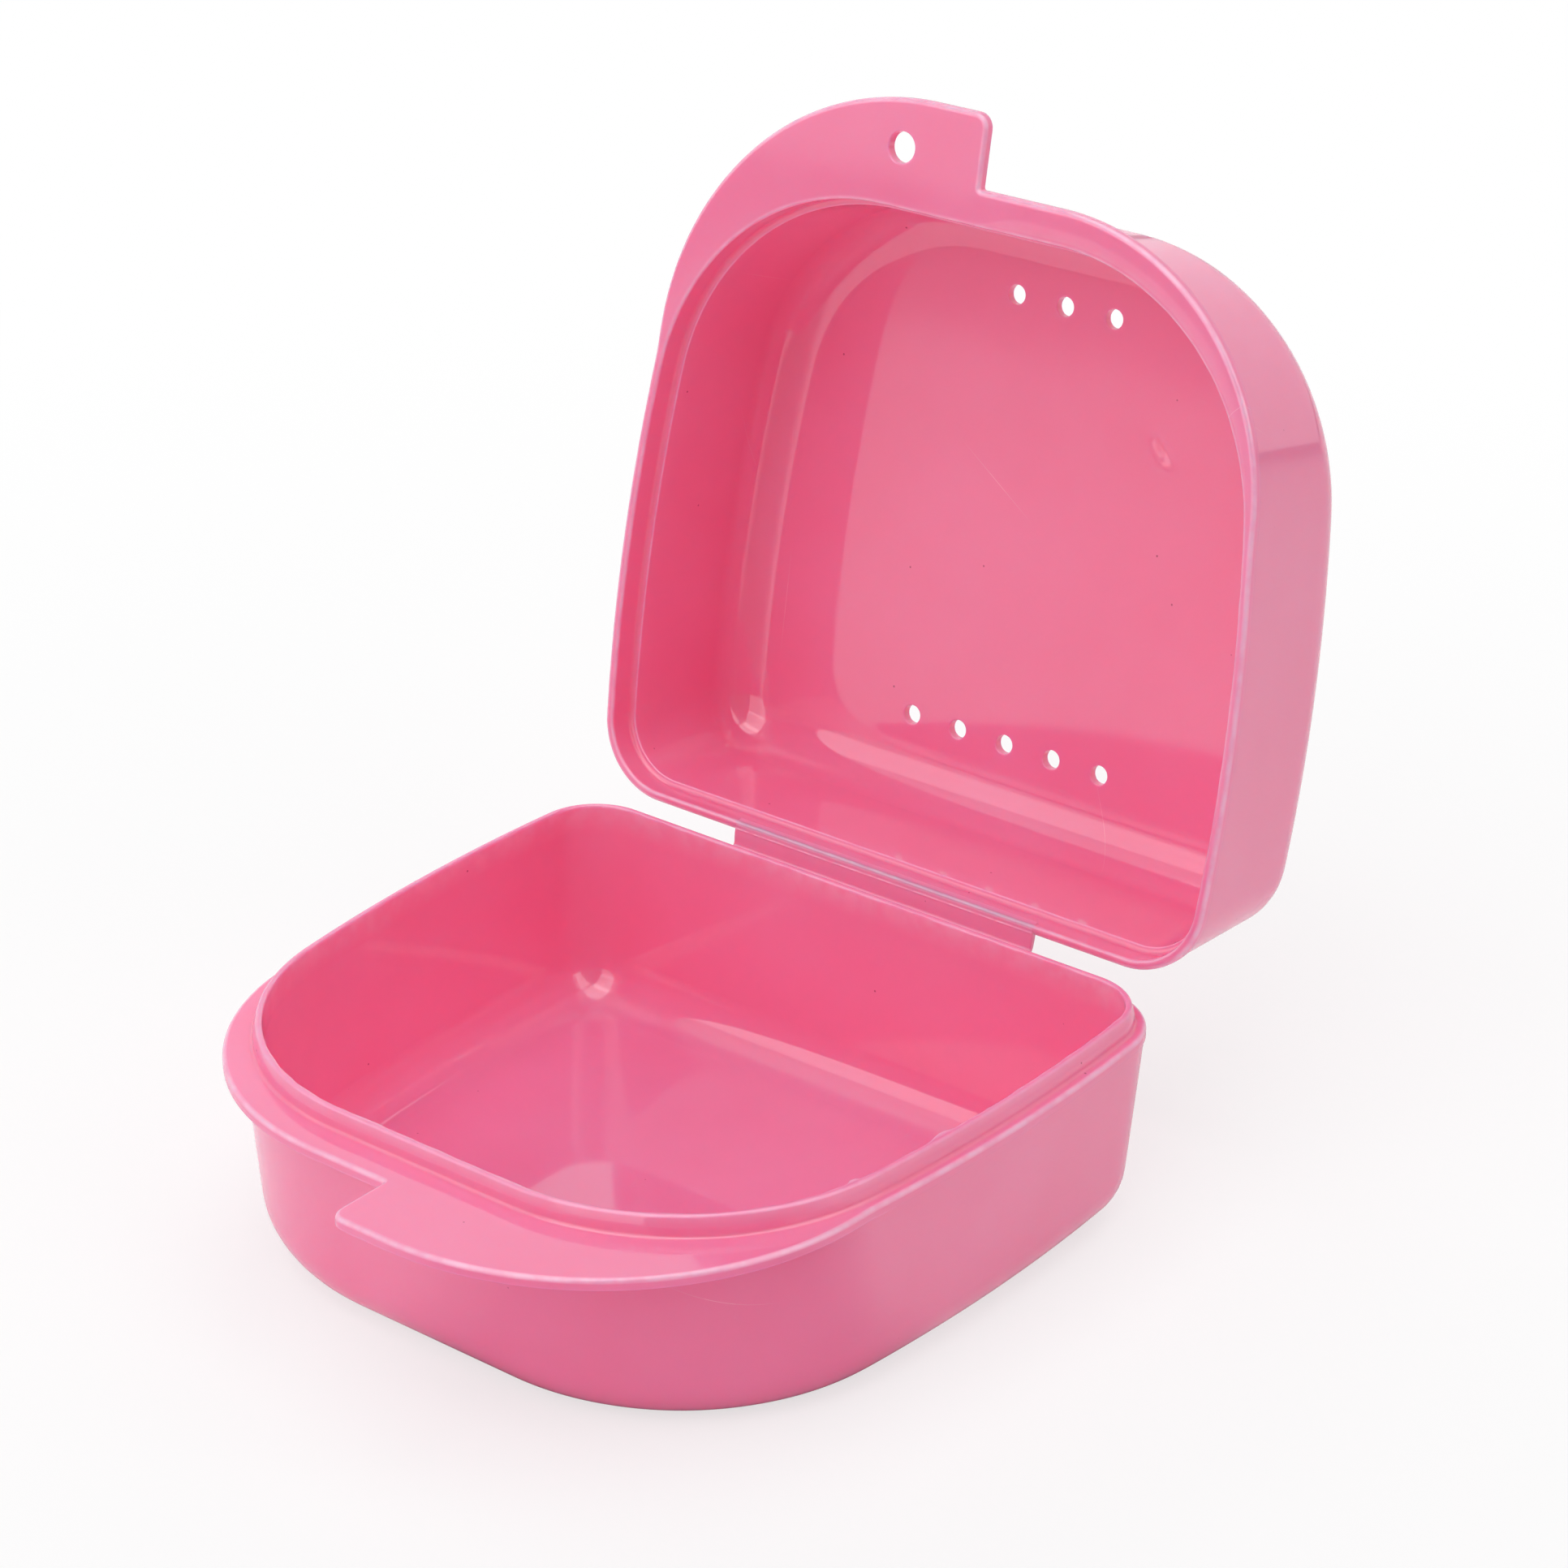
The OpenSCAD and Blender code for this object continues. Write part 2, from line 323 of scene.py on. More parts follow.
def addFlat(shape, outer, holes=(), extra=None, relief=None):
    # A flat face between its outer loop and its holes: Delaunay triangles over the loops and a lattice of
    # points inside, with extra points where a relief (a height for each x and y) lifts it
    spacing = lattice["spacing"]
    loops = [shape["points"][loop] for loop in [outer, *holes]]
    flatLoops = [loop[:, :2] for loop in loops]
    ring = np.concatenate(loops)
    low, high = ring[:, :2].min(0), ring[:, :2].max(0)
    grid = np.meshgrid(*[np.arange(low[i], high[i], spacing) for i in (0, 1)])
    grid = np.stack(grid, -1).reshape(-1, 2)
    fromRing = np.linalg.norm(grid[:, None] - ring[None, :, :2], axis=2).min(1)
    grid = grid[fromRing > lattice["fromLoops"] * spacing]
    grid = grid[betweenLoops(grid, flatLoops)]
    height = np.full(len(grid), ring[0, 2])
    if extra is not None:
        fromExtra = np.linalg.norm(grid[:, None] - extra[None], axis=2).min(1)
        grid = np.concatenate([grid[fromExtra > lattice["fromExtra"] * spacing], extra])
        height = ring[0, 2] + relief(grid)
    number = np.concatenate([outer, *holes, addPoints(shape, np.column_stack([grid, height]))])
    flat = np.concatenate([ring[:, :2], grid])
    edges, first = [], 0
    for loop in loops:
        around = np.arange(first, first + len(loop))
        edges += np.stack([around, np.roll(around, -1)], 1).tolist()
        first += len(loop)
    found = delaunay_2d_cdt([Vector(p) for p in flat], edges, [], 0, lattice["merge"])
    corner = np.array([origin[0] for origin in found[3]])[np.array(found[2])]
    kept = betweenLoops(flat[corner].mean(1), flatLoops)
    shape["triangles"].append(number[corner[kept]])


def addHole(shape, centre, radius, topZ, bottomZ, edge=0.14, count=40):
    # A round hole: a ring of points that goes down its wall, with both edges rounded and a narrow flat land
    # around them; gives its two end loops
    land = 2.2 * edge
    path = roundedPath([
        (-land, topZ, 0),
        (0, topZ, edge),
        (0, bottomZ, edge),
        (-land, bottomZ, 0),
    ], support=0.02)
    line, normals = arcStations(centre, radius, 0, 2 * math.pi, count)
    wall = addSkin(shape, carry(line, normals, path[:, :1], path[:, 1:]))
    return wall[0], wall[-1]


shell = {
    "floor": 1.1,
    "outerDraft": 3.5,
    "innerDraft": 3.0,
    "outerRound": 5.7,
    "cornerGrowth": 1.25,  # how much wider the outer corners are at the flat face
    "innerRound": 4.8,
    "flatInset": 7.0,  # where the flat outer face begins
    "innerFlatInset": 7.75,
}


def flatStrip(reach):
    # Width of the flat strip beside a rounding, narrower where the rim barely stands out
    return np.minimum(flange["strip"], flange["stripOfReach"] * reach)


def addWall(shape, line, normals, reach, panelHoles):
    # Outer wall of one half: flat outer face, rounded edge, drafted wall and a small fillet under the flange;
    # gives the fillet's end loop
    inset = flangeZ * math.tan(math.radians(shell["outerDraft"]))
    slope = inset / flangeZ
    foot = flange["foot"]
    path = roundedPath([
        (shell["flatInset"], 0, 0),
        (inset, 0, shell["outerRound"]),
        (foot * slope, flangeZ - foot, 0),
    ])
    rows = []
    for across, up in path:
        wider, wideNormals, _ = seamOutline(shell["cornerGrowth"] * (1 - up / flangeZ))
        rows.append(carry(wider, wideNormals, np.array([[across]]), np.array([[up]])))
    small = np.minimum(foot, flange["mostOfReach"] * reach)
    quarter = np.linspace(0, math.pi / 2, flange["edgePoints"])[:, None]
    filletIn = small * (1 - np.sin(quarter)) * slope - small * (1 - np.cos(quarter))
    filletUp = flangeZ - small * (1 - np.sin(quarter))
    insets = np.concatenate([filletIn, -(small + flatStrip(reach))[None]])
    heights = np.concatenate([filletUp, np.full((1, len(line)), flangeZ)])
    rows.append(carry(line, normals, insets, heights))
    wall = addSkin(shape, np.concatenate(rows))
    addFlat(shape, wall[0], panelHoles)
    return wall[-1]


def addRim(shape, line, normals, reach, wallEdge, holeUnder):
    # Flange and tab of one half: their underside and their edge, with a small rounding below and a larger one
    # above that carries a painted highlight; gives the seam face's outer loop
    edge, edgeNormals, edgeReach = flangeOutline(line, normals, reach)
    count = len(edge)
    low = np.minimum(flange["edgeUnder"], flange["mostOfReach"] * edgeReach)
    high = flange["edgeRound"]
    quarter = np.linspace(0, math.pi / 2, flange["edgePoints"])[:, None]
    insets = np.concatenate([
        (low + flatStrip(edgeReach))[None],
        low * (1 - np.sin(quarter)),
        np.tile(high * (1 - np.cos(quarter)), count),
        np.full((1, count), high + flange["strip"]),
    ])
    heights = np.concatenate([
        np.full((1, count), flangeZ),
        flangeZ + low * (1 - np.cos(quarter)),
        np.tile(seamZ - high * (1 - np.sin(quarter)), count),
        np.full((1, count), seamZ),
    ])
    # Painted highlight along the larger rounding, strongest at its crest
    paintedCrest = flange["paintedEdgeLight"] * np.sin(2 * quarter)
    paintedLight = np.concatenate([np.zeros((1 + len(quarter), 1)), paintedCrest, np.zeros((1, 1))])
    rim = addSkin(shape, carry(edge, edgeNormals, insets, heights), paintedLight)
    addFlat(shape, rim[0], [wallEdge, *holeUnder])
    return rim[-1]


def outsideOfHalf(shape, holeUnder=(), panelHoles=()):
    # Outer wall, flange and tab of one half, from the flat outer face to the seam; gives the seam outline,
    # its normals, the seam face's outer loop and the flange's reach
    line, normals, frontCorner = seamOutline()
    reach = flangeReach(line, normals, frontCorner)
    wallEdge = addWall(shape, line, normals, reach, panelHoles)
    return line, normals, addRim(shape, line, normals, reach, wallEdge, holeUnder), reach


def innerFoot(inset, top):
    # Inset of a drafted inner wall where it would meet the floor
    return inset + (top - shell["floor"]) * math.tan(math.radians(shell["innerDraft"]))


def makePiece(name, shape, material):
    # One closed mesh in metres, with its faces turned outwards and shaded smooth
    faces = [q.tolist() for q in shape["quads"]] + [t.tolist() for t in shape["triangles"]]
    mesh = bpy.data.meshes.new(name)
    mesh.from_pydata(shape["points"] * mm, [], [f for group in faces for f in group])
    work = bmesh.new()
    work.from_mesh(mesh)
    bmesh.ops.recalc_face_normals(work, faces=work.faces)
    openEdges = sum(not e.is_manifold for e in work.edges)
    work.to_mesh(mesh)
    work.free()
    # Each point's painted highlight and glow, for the material
    mesh.attributes.new("paintedEdgeLight", "FLOAT", "POINT").data.foreach_set("value", shape["paintedLight"])
    mesh.shade_smooth()
    mesh.materials.append(material)
    piece = bpy.data.objects.new(name, mesh)
    bpy.context.scene.collection.objects.link(piece)
    print(name, "has", len(mesh.polygons), "faces and", openEdges, "open edges")
    return piece


plastic = {  # lengths in metres, as the materials see them
    "colour": (0.95, 0.245, 0.44),
    "roughness": 0.05,
    "haze": (-0.02, 0.03),  # how far the flow mottling changes the roughness
    "gloss": 0.9,  # specular level
    "ior": 1.5,
    "scatter": 0.9,
    "scatterRadius": (1.0, 0.32, 0.42),
    "scatterScale": 0.002,
    "thinBacklitColour": (0.98, 0.32, 0.52),  # of the strap, painted paler for the light that shines through it
    "thinScatterScale": 0.00004,  # it is too thin to scatter deeper
    "flow": (55, 3),  # scale and detail of the flow mottling
    "flowRange": (0.3, 0.7),
    "flowDark": (0.985, 0.94, 0.955),  # times the colour, where the mottling is darkest and lightest
    "flowLight": (1.01, 1.05, 1.04),
    "paintedLightColour": (0.95, 0.5, 0.66),  # painted highlight and glow colour of thin edges and flash
    "paintedLightBreaks": (420, 3),  # scale and detail of the noise that breaks up the painted highlights
    "paintedLightBreakRange": (0.4, 0.6, 0.6, 1),
    "scratchColour": (0.95, 0.38, 0.55),
    "scratchWidth": 0.00007,
    "scratchEdge": (0.2, 0.5),  # where a scratch starts and ends to fade, in widths from its middle
    "scratchSpacing": 0.016,
    "scratchFade": (0.15, 0.42, 0.75, 0),  # towards its ends, in cell sizes, and its strength there
    "scratchChance": (1.7, 1.9),  # sum of a cell's random colour from which it has a scratch
    "scratchRough": 0.3,
    "speckColour": (0.35, 0.04, 0.08),
    "speckRadius": 0.00015,
    "speckSpacing": 0.0055,
    "speckStrength": 0.75,
    "ripple": (90, 1),  # scale and detail of the mould ripple
    "rippleStrength": 0.05,
    "rippleDepth": 0.0003,
}


def feed(tree, socket, value):
    # Links another node's output to a socket, or sets the socket to a plain value
    if isinstance(value, bpy.types.NodeSocket):
        tree.links.new(value, socket)
    else:
        socket.default_value = value


def mixedColour(tree, share, first, second):
    # One colour over another by a share from another node
    mix = tree.nodes.new("ShaderNodeMix")
    mix.data_type = "RGBA"
    feed(tree, mix.inputs["Factor"], share)
    feed(tree, mix.inputs[6], first)
    feed(tree, mix.inputs[7], (*second, 1))
    return mix.outputs[2]


def ranged(tree, value, low, high, first, last, curve="LINEAR"):
    # A value's range low to high turned into first to last
    span = tree.nodes.new("ShaderNodeMapRange")
    span.interpolation_type = curve
    ends = {"Value": value, "From Min": low, "From Max": high, "To Min": first, "To Max": last}
    for name, number in ends.items():
        feed(tree, span.inputs[name], number)
    return span.outputs["Result"]


def mathStep(tree, operation, *values):
    # One step of arithmetic on node outputs and plain numbers
    step = tree.nodes.new("ShaderNodeMath")
    step.operation = operation
    for socket, value in zip(step.inputs, values):
        feed(tree, socket, value)
    return step.outputs[0]


def vectorStep(tree, operation, *values):
    # One step of vector arithmetic; dot products and lengths give a number
    step = tree.nodes.new("ShaderNodeVectorMath")
    step.operation = operation
    for socket, value in zip(step.inputs, values):
        feed(tree, socket, value)
    return step.outputs["Value" if operation in ("DOT_PRODUCT", "LENGTH") else "Vector"]


def noise(tree, place, scale, detail):
    # Soft noise from 0 to 1 in space
    grain = tree.nodes.new("ShaderNodeTexNoise")
    grain.inputs["Scale"].default_value = scale
    grain.inputs["Detail"].default_value = detail
    feed(tree, grain.inputs["Vector"], place)
    return grain.outputs["Fac"]


def cells(tree, place, spacing):
    # Scattered cells: distance to the cell's own point in cell sizes, that point, and a random colour
    scatter = tree.nodes.new("ShaderNodeTexVoronoi")
    scatter.inputs["Scale"].default_value = 1 / spacing
    feed(tree, scatter.inputs["Vector"], place)
    return scatter.outputs["Distance"], scatter.outputs["Position"], scatter.outputs["Color"]


def scratches(tree, place):
    # Short straight hairlines: a thin plane of random turn through the middle of some of the scattered cells
    away, middle, random = cells(tree, place, plastic["scratchSpacing"])
    offset = vectorStep(tree, "SUBTRACT", place, middle)
    turn = vectorStep(tree, "NORMALIZE", vectorStep(tree, "SUBTRACT", random, (0.5, 0.5, 0.5)))
    aside = mathStep(tree, "ABSOLUTE", vectorStep(tree, "DOT_PRODUCT", offset, turn))
    inner, outer = (share * plastic["scratchWidth"] for share in plastic["scratchEdge"])
    line = ranged(tree, aside, inner, outer, 1, 0)
    fade = ranged(tree, away, *plastic["scratchFade"])
    total = vectorStep(tree, "DOT_PRODUCT", random, (1.0, 1.0, 1.0))
    some = ranged(tree, total, *plastic["scratchChance"], 0, 1)
    return mathStep(tree, "MULTIPLY", mathStep(tree, "MULTIPLY", line, fade), some)


def pinkPlastic(name, colour, scatterScale):
    # Glossy, slightly translucent polypropylene: faint flow mottling, painted highlights and glow along edges
    # and flash, a few hairline scratches and specks in the colour, and a gentle mould ripple
    material = bpy.data.materials.new(name)
    material.use_nodes = True
    tree = material.node_tree
    shader = tree.nodes["Principled BSDF"]
    place = tree.nodes.new("ShaderNodeTexCoord").outputs["Object"]

    flow = noise(tree, place, *plastic["flow"])
    tint = tree.nodes.new("ShaderNodeValToRGB")
    shades = (plastic["flowDark"], plastic["flowLight"])
    for end, position, shade in zip(tint.color_ramp.elements, plastic["flowRange"], shades):
        end.position = position
        end.color = (*(min(1, c * s) for c, s in zip(colour, shade)), 1)
    feed(tree, tint.inputs["Fac"], flow)

    # Painted highlights and glow along edges and flash, from each point's attribute, broken up by noise
    edge = tree.nodes.new("ShaderNodeAttribute")
    edge.attribute_name = "paintedEdgeLight"
    broken = ranged(tree, noise(tree, place, *plastic["paintedLightBreaks"]), *plastic["paintedLightBreakRange"])
    paintedLightShare = mathStep(tree, "MULTIPLY", edge.outputs["Fac"], broken)
    colour = mixedColour(tree, paintedLightShare, tint.outputs["Color"], plastic["paintedLightColour"])

    scratched = scratches(tree, place)
    colour = mixedColour(tree, scratched, colour, plastic["scratchColour"])

    toSpeck = cells(tree, place, plastic["speckSpacing"])[0]
    speckShare = plastic["speckRadius"] / plastic["speckSpacing"]
    speck = ranged(tree, toSpeck, 0.5 * speckShare, speckShare, plastic["speckStrength"], 0)
    colour = mixedColour(tree, speck, colour, plastic["speckColour"])
    feed(tree, shader.inputs["Base Color"], colour)

    smoothest, roughest = (plastic["roughness"] + change for change in plastic["haze"])
    haze = ranged(tree, flow, 0, 1, smoothest, roughest)
    rougher = mathStep(tree, "MULTIPLY_ADD", scratched, plastic["scratchRough"], haze)
    feed(tree, shader.inputs["Roughness"], rougher)

    bump = tree.nodes.new("ShaderNodeBump")
    bump.inputs["Strength"].default_value = plastic["rippleStrength"]
    bump.inputs["Distance"].default_value = plastic["rippleDepth"]
    feed(tree, bump.inputs["Height"], noise(tree, place, *plastic["ripple"]))
    feed(tree, shader.inputs["Normal"], bump.outputs["Normal"])

    shader.inputs["Subsurface Weight"].default_value = plastic["scatter"]
    shader.inputs["Subsurface Radius"].default_value = plastic["scatterRadius"]
    shader.inputs["Subsurface Scale"].default_value = scatterScale
    shader.inputs["IOR"].default_value = plastic["ior"]
    shader.inputs["Specular IOR Level"].default_value = plastic["gloss"]
    return material


# The strap's plastic is a copy painted paler for the light that shines through it
pink = pinkPlastic("pinkPolypropylene", plastic["colour"], plastic["scatterScale"])
thinBacklitPink = pinkPlastic("thinBacklitPinkPolypropylene", plastic["thinBacklitColour"], plastic["thinScatterScale"])

base = {
    "lipInset": 1.0,
    "lipThickness": 1.05,
    "lipFoot": 0.38,  # radius where the lip meets the ledge
    "lipWaist": (0.1, 1.05),  # in and up from the foot, where the outer side starts to curve in
    "lipWaistRound": 1.5,
    "lipLean": 0.42,
    "lipOuterRound": 0.36,
    "lipInnerRound": 0.3,
    "wallRound": 6.0,  # where the lip's upright inner side turns into the drafted wall
    "rowStep": 0.06,  # of the points beside each rounding
    "edgeIn": 0.09,  # from the lip's sharp inner corner to its rounded edge, in and down
    "paintedEdgeLight": (0.25, 0.5),  # width and strength of the painted highlight line there
    "outerEdgeDown": 0.05,
    # width and strength of the painted highlight along the lip's outer edge
    "outerPaintedLight": (0.4, 0.35),
    "glow": 0.68,  # strength of the painted glow on the lip's inner side at its top, for light that shines through it
    # how far down the painted glow fades
    "paintedGlowDepth": 2.0,
    "paintedGlowSlack": 0.02,  # how far short of the inner side a point still counts as on it
    "flash": 0.07,  # thin uneven fin along the lip's inner edge
    "flashSeed": 1.3,
    "flashLean": 0.7,  # share of its height that it stands in and up
    "bitHeight": 0.3,  # of the few larger bits of flash there
    "bits": ((38.36, -1.74, 1.2), (36.96, -13.96, 0.5)),  # place on the outline and half length
}


def makeBase():
    # Lower half: outside, ledge, lip with a curved outer side, drafted inner wall and floor
    shape = newShape()
    line, normals, ledge, _ = outsideOfHalf(shape)
    lipIn = base["lipInset"] + base["lipThickness"]
    lipOut = base["lipInset"] + base["lipLean"]
    waistIn, waistUp = base["lipWaist"]
    path = roundedPath([
        (base["lipInset"] - base["lipFoot"] - flange["strip"], seamZ, 0),
        (base["lipInset"], seamZ, base["lipFoot"]),
        (base["lipInset"] + waistIn, seamZ + waistUp, base["lipWaistRound"]),
        (lipOut, lipZ, base["lipOuterRound"]),
        (lipIn, lipZ, base["lipInnerRound"]),
        (lipIn, flangeZ, base["wallRound"]),
        (innerFoot(lipIn, flangeZ), shell["floor"], shell["innerRound"]),
        (shell["innerFlatInset"], shell["floor"], 0),
    ], support=base["rowStep"])
    # Painted highlights along the lip's inner and outer edges, and a painted glow down its inner side from
    # the top
    lipEdge = (lipIn - base["edgeIn"], lipZ - base["edgeIn"])
    outerEdge = (lipOut, lipZ - base["outerEdgeDown"])
    paintedLight = paintedLightNear(path, [(*lipEdge, *base["paintedEdgeLight"]), (*outerEdge, *base["outerPaintedLight"])])
    glow = base["glow"] * np.exp(-((path[:, 1:] - lipZ) / base["paintedGlowDepth"]) ** 2)
    paintedLight = np.maximum(paintedLight, glow * (path[:, :1] > lipIn - base["paintedGlowSlack"]))
    ragged = base["flash"] * unevenly(line, base["flashSeed"])
    ragged = ragged + base["bitHeight"] * flashBits(line, base["bits"])
    fin = base["flashLean"] * finAt(path, lipEdge, ragged)
    inner = addSkin(shape, carry(line, normals, path[:, :1] + fin, path[:, 1:] + fin), paintedLight)
    addFlat(shape, ledge, [inner[0]])
    addFlat(shape, inner[-1])
    piece = makePiece("baseHalf", shape, pink)
    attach(piece, "base")
    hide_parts("base_tray", "base_tab_flange", "base_lip")


lid = {
    "rim": 0.9,
    "rimRound": 0.36,
    "crown": (1.3, 0.28),  # width and drop of the rim's slope to its inner edge, on the side without the tab
    "crownReach": (0.4, 2.0),  # it grows in where the flange's reach goes from one to the other
    "crownFromMiddle": (1, 6),  # and so far from the middle
    "crownLeast": 0.02,  # share of it that is left elsewhere
    "crownRows": 6,
    # painted highlight on the rim's slope, growing towards its inner edge
    "crownPaintedLight": 0.25,
    "recessDepth": 3.0,
    "recessLean": 0.04,
    "recessRound": 0.52,
    "shoulder": 0.75,
    "shoulderRound": 0.15,
    "rowStep": 0.06,  # of the points beside each rounding
    "edgeIn": 0.1,  # from the rim's sharp inner corner to its rounded edge, in and down
    "paintedEdgeLight": (0.2, 0.8),  # width and strength of the painted highlight line there
    "shoulderEdge": 0.05,
    # width and strength of the painted highlight along the shoulder's edge
    "shoulderPaintedLight": (0.12, 0.45),
    "flash": 0.05,  # thin uneven fin along the rim's inner edge
    "flashSeed": 2.1,
    "dent": (-14.2, -12.3),  # small moulding dent in the panel
    "dentReach": (1.9, 0.95),
    "dentTurn": 133.0,
    "dentDepth": 0.28,
    "dentFall": 2.2,  # how steeply it fades
    "dentRings": 11,
    "dentSpokes": 24,
    "dentPast": 1.6,  # how far its own points go, in reaches
    "ventRadius": 1.05,
    "ventPitch": 6.15,
    "frontVents": 3,
    "rearVents": 5,
    "frontVentIn": 11.0,
    "rearVentIn": 11.4,
    "lanyardRadius": 1.6,
    "lanyardX": 9.0,
    "lanyardOut": 5.2,
    "lanyardEdge": 0.2,
    "lanyardPoints": 56,
}


def swingOpen(points):
    # The lid is drawn like the base: turned over onto it (x and z change sign), then swung open about
    # the hinge
    turned = points * np.array([-1.0, 1.0, -1.0]) + np.array([0.0, 0.0, 2 * hingeZ])
    angle = math.radians(openAngle)
    y, z = turned[:, 1] - hingeY, turned[:, 2] - hingeZ
    return np.column_stack([turned[:, 0], hingeY + y * math.cos(angle) + z * math.sin(angle),
                            hingeZ - y * math.sin(angle) + z * math.cos(angle)])


def dentAxes():
    # Unit vectors along and across the dent
    lean = math.radians(lid["dentTurn"])
    return np.array([math.cos(lean), math.sin(lean)]), np.array([-math.sin(lean), math.cos(lean)])


def dentRelief(points):
    # A long shallow dent: a bell curve of the distance along and across it
    away = points - np.array(lid["dent"])
    along, across = (away @ axis / reach for axis, reach in zip(dentAxes(), lid["dentReach"]))
    return -lid["dentDepth"] * np.exp(-lid["dentFall"] * (along ** 2 + across ** 2))


def dentPoints():
    # Points over the dent: rings out to a little past it, each turned further than the last
    ring = np.linspace(0, 1, lid["dentRings"] + 1)[1:, None] * lid["dentPast"]
    turn = np.arange(lid["dentSpokes"])[None] * 2 * math.pi / lid["dentSpokes"] + ring
    flat = np.stack([ring * np.cos(turn), ring * np.sin(turn)], 2).reshape(-1, 2) * lid["dentReach"]
    along, across = dentAxes()
    return np.array(lid["dent"]) + flat[:, :1] * along + flat[:, 1:] * across


def addVents(shape):
    # Two straight rows of round holes through the panel, centred on the middle; gives each hole's end loops
    rows = ((lid["frontVents"], lid["frontVentIn"] - seam["halfDepth"]),
            (lid["rearVents"], seam["halfDepth"] - lid["rearVentIn"]))
    centres = [((i - (count - 1) / 2) * lid["ventPitch"], y) for count, y in rows for i in range(count)]
    return [addHole(shape, centre, lid["ventRadius"], shell["floor"], 0) for centre in centres]


def grownIn(value, start, end):
    # 0 at the start, 1 at the end and straight between
    return np.clip((value - start) / (end - start), 0, 1)


def addLidInside(shape, line, normals, reach):
    # The lid's rim, recess for the lip and drafted inner wall. On the flange without the tab the rim slopes
    # to its inner edge as a parabola, and that drop fades out down the recess. Painted highlights lie along
    # the rim's slope and inner edge and along the shoulder's edge. Gives the end loops
    recess = seamZ - lid["recessDepth"]
    shoulderIn = lid["rim"] + lid["shoulder"]
    path = roundedPath([
        (lid["rim"] - lid["rimRound"] - flange["strip"], seamZ, 0),
        (lid["rim"], seamZ, lid["rimRound"]),
        (lid["rim"] + lid["recessLean"], recess, lid["recessRound"]),
        (shoulderIn, recess, lid["shoulderRound"]),
        (innerFoot(shoulderIn, recess), shell["floor"], shell["innerRound"]),
        (shell["innerFlatInset"], shell["floor"], 0),
    ], support=lid["rowStep"])
    rimEdge = (lid["rim"] - lid["edgeIn"], seamZ - lid["edgeIn"])
    shoulderEdge = (shoulderIn - lid["shoulderEdge"], recess - lid["shoulderEdge"])
    # Painted highlights along the rim's inner edge and the shoulder's edge
    paintedLight = paintedLightNear(path, [(*rimEdge, *lid["paintedEdgeLight"]), (*shoulderEdge, *lid["shoulderPaintedLight"])])
    fin = finAt(path, rimEdge, lid["flash"] * unevenly(line, lid["flashSeed"]))
    width, drop = lid["crown"]
    crown = grownIn(reach, *lid["crownReach"]) * grownIn(-line[:, 0], *lid["crownFromMiddle"])
    crown = lid["crownLeast"] + (1 - lid["crownLeast"]) * crown ** 2 * (3 - 2 * crown)
    slope = np.linspace(0, 1, lid["crownRows"] + 1)[:-1, None]
    fading = grownIn(path[:, 1:], recess, seamZ) ** 2
    insets = np.concatenate([path[0, 0] - width * crown * (1 - slope), path[:, :1] + fin])
    heights = np.concatenate([seamZ - drop * crown * slope ** 2, path[:, 1:] - drop * crown * fading])
    # Painted highlight on the rim's slope, strongest at its inner edge
    paintedLight = np.concatenate([lid["crownPaintedLight"] * slope ** 2, paintedLight])
    inner = addSkin(shape, carry(line, normals, insets, heights), paintedLight)
    return inner[0], inner[-1]


def makeLid():
    # Upper half: vents, tab with the lanyard hole, outside, inside, and the flat faces between their loops
    shape = newShape()
    vents = addVents(shape)
    lanyardPlace = (lid["lanyardX"], -seam["halfDepth"] - lid["lanyardOut"])
    lanyard = addHole(shape, lanyardPlace, lid["lanyardRadius"], seamZ, flangeZ,
                      edge=lid["lanyardEdge"], count=lid["lanyardPoints"])
    line, normals, face, reach = outsideOfHalf(shape, [lanyard[1]], [v[1] for v in vents])
    rimLoop, panelLoop = addLidInside(shape, line, normals, reach)
    addFlat(shape, face, [rimLoop, lanyard[0]])
    addFlat(shape, panelLoop, [v[0] for v in vents], dentPoints(), dentRelief)
    shape["points"] = swingOpen(shape["points"])
    piece = makePiece("lidHalf", shape, pink)
    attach(piece, "lid")
    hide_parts("lid_shell", "lid_tab_flange")


strap = {
    "halfWidth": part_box("hinge_film")[1].x / mm,
    "thickness": 0.74,
    "foldThickness": 0.42,
    "foldRadius": 0.75,
    "foldReach": 0.8,  # how far from the axis it thins
    "proud": 0.012,  # above the seam faces, so that the rims' rounded edges don't show
    "cover": 0.5,  # how far both ends lie on the halves' seam faces
    "sunk": 0.78,  # how far they reach into the halves
    "dip": 0.55,  # how far they dive there
    "dipRound": 0.15,
    "rows": {"support": 0.04, "stretch": 0.05, "arcStep": 6.0},
    "columns": 158,
    "endRound": 0.2,
    "endPoints": 6,
    "flash": 0.07,  # height of the thin line along the lid's rim
    "flashWidth": 0.09,
    "turnReach": 0.45,  # how far on each side of the axis it bends
}


